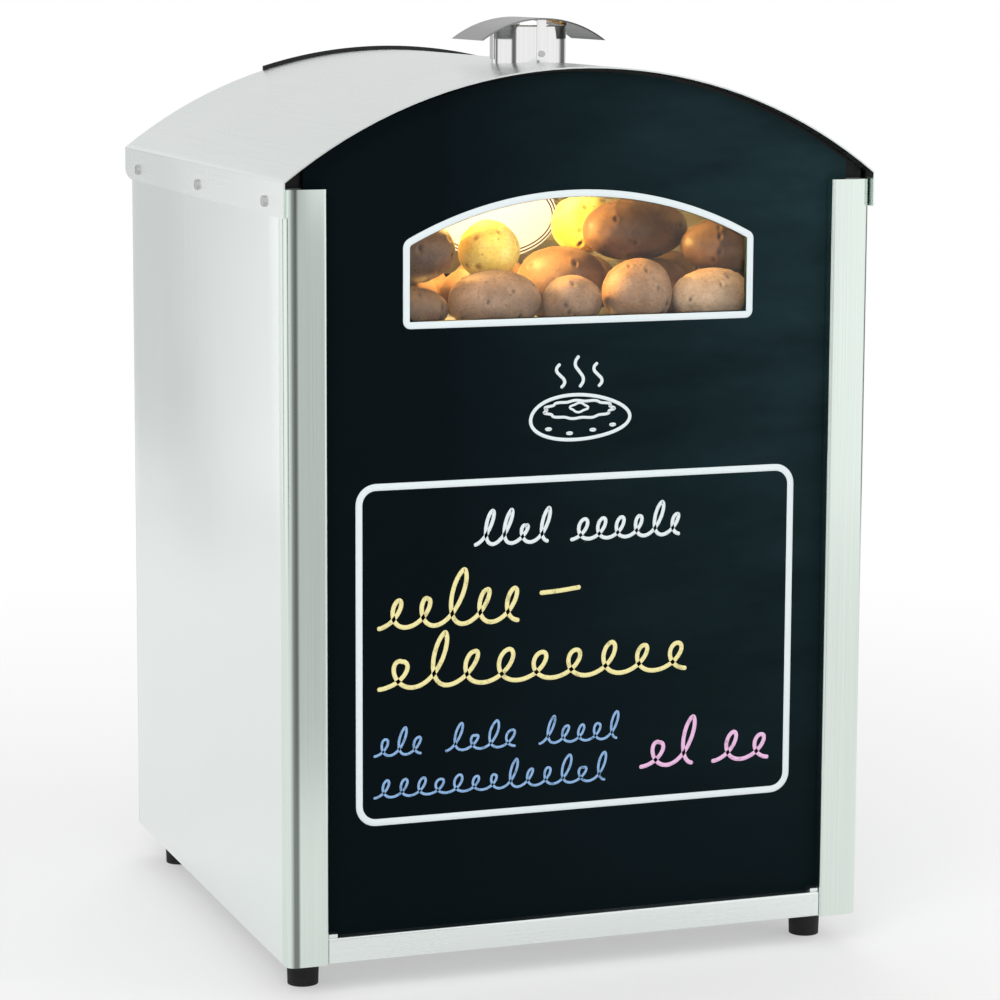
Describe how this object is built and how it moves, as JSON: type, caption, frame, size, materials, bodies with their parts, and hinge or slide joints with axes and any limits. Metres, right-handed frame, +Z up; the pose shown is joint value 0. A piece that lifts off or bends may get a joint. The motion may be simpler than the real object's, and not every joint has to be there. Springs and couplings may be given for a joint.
{
  "type": "baked potato oven",
  "caption": "Counter-top oven for baking potatoes, with an arched roof, a short flue, a black menu board with a window into a heated display cabinet, and doors at the back.",
  "frame": {"origin": "on the counter, under the middle of the oven", "axes": "+Z up, +X to the right seen from the customer side, customer side faces -Y"},
  "size_m": [0.5048, 0.559, 0.7715],
  "materials": {
    "stainless": "satin",
    "galvanised": "satin",
    "bright_steel": "polished",
    "board_black": "satin",
    "black_enamel": "gloss",
    "white_enamel": "gloss",
    "window_glass": "clear",
    "lamp_glass": "frosted",
    "rubber_black": "matte",
    "gasket": "matte",
    "black_plastic": "matte",
    "gloss_plastic": "gloss",
    "lens_plastic": "gloss",
    "ceramic": "gloss",
    "mineral_wool": "matte",
    "potato_skin": "matte"
  },
  "bodies": {
    "body": {"base_pan": "galvanised", "board_clips": "stainless", "control_panel": "stainless", "display_element": "galvanised", "display_floor": "stainless", "display_lamp": "lamp_glass", "display_liner": "stainless", "display_potatoes": "potato_skin", "door_catches": "black_plastic", "element_clips": "galvanised", "fan_baffle": "stainless", "fan_motor": "galvanised", "fasteners": "bright_steel", "flue_cowl": "stainless", "flue_pipe": "stainless", "flue_straps": "stainless", "front_board": "board_black", "front_bulkhead": "black_enamel", "front_rail": "stainless", "hinge_brackets": "stainless", "indicator_lamps": "lens_plastic", "lamp_holder": "ceramic", "lead_gland": "black_plastic", "left_corner_trim": "stainless", "left_side_panel": "stainless", "oven_insulation": "mineral_wool", "oven_jacket": "galvanised", "oven_liner": "stainless", "oven_supports": "galvanised", "rear_frame": "stainless", "regulators": "black_plastic", "right_corner_trim": "stainless", "right_side_panel": "stainless", "ring_element": "galvanised", "roof_cover": "stainless", "rubber_feet": "rubber_black", "shelf_runners": "stainless", "sign_plate": "white_enamel", "switch_housings": "black_plastic", "terminal_block": "ceramic", "window_glass": "window_glass"},
    "oven_door": {"oven_door_pan": "stainless", "oven_door_inner": "stainless", "oven_door_insulation": "mineral_wool", "oven_door_gasket": "gasket", "oven_hinge_pins": "bright_steel", "oven_handle": "stainless"},
    "display_door": {"display_door": "black_enamel", "display_door_pan": "stainless", "display_hinges": "bright_steel", "display_door_knob": "black_plastic"},
    "fan": {"fan_shaft": "bright_steel", "fan_impeller": "galvanised"},
    "thermostat_knob": {"thermostat_knob": "black_plastic"},
    "timer_knob": {"timer_knob": "black_plastic"},
    "oven_rocker": {"oven_switch_rocker": "gloss_plastic"},
    "light_rocker": {"light_switch_rocker": "gloss_plastic"},
    "lower_shelf": {"lower_shelf": "bright_steel"},
    "middle_shelf": {"middle_shelf": "bright_steel"},
    "upper_shelf": {"upper_shelf": "bright_steel"}
  },
  "joints": [
    {"name": "oven_door_hinge", "type": "hinge", "parent": "body", "child": "oven_door", "pos_m": [0, 0.2285, 0.143], "axis": [-1, 0, 0], "range_deg": [0, 90]},
    {"name": "display_door_hinge", "type": "hinge", "parent": "body", "child": "display_door", "pos_m": [-0.125, 0.2385, 0.5984], "axis": [0, 0, 1], "range_deg": [0, 110]},
    {"name": "fan_spin", "type": "hinge", "parent": "body", "child": "fan", "pos_m": [0, -0.1725, 0.3091], "axis": [0, 1, 0], "continuous": true},
    {"name": "thermostat_turn", "type": "hinge", "parent": "body", "child": "thermostat_knob", "pos_m": [0.01, 0.215, 0.078], "axis": [0, -1, 0], "range_deg": [0, 270]},
    {"name": "timer_turn", "type": "hinge", "parent": "body", "child": "timer_knob", "pos_m": [-0.08, 0.215, 0.078], "axis": [0, -1, 0], "range_deg": [0, 300]},
    {"name": "oven_switch_tilt", "type": "hinge", "parent": "body", "child": "oven_rocker", "pos_m": [0.17, 0.212, 0.078], "axis": [1, 0, 0], "range_deg": [0, 12]},
    {"name": "light_switch_tilt", "type": "hinge", "parent": "body", "child": "light_rocker", "pos_m": [0.128, 0.212, 0.078], "axis": [1, 0, 0], "range_deg": [0, 12]},
    {"name": "lower_shelf_slide", "type": "slide", "parent": "body", "child": "lower_shelf", "axis": [0, 1, 0], "range_m": [0, 0.1101]},
    {"name": "middle_shelf_slide", "type": "slide", "parent": "body", "child": "middle_shelf", "axis": [0, 1, 0], "range_m": [0, 0.1807]},
    {"name": "upper_shelf_slide", "type": "slide", "parent": "body", "child": "upper_shelf", "axis": [0, 1, 0], "range_m": [0, 0.1996]}
  ],
  "couplings": [
    {"joint": "lower_shelf_slide", "follows": "oven_door_hinge", "m_per_rad": 0.07},
    {"joint": "middle_shelf_slide", "follows": "oven_door_hinge", "m_per_rad": 0.115},
    {"joint": "upper_shelf_slide", "follows": "oven_door_hinge", "m_per_rad": 0.127}
  ]
}
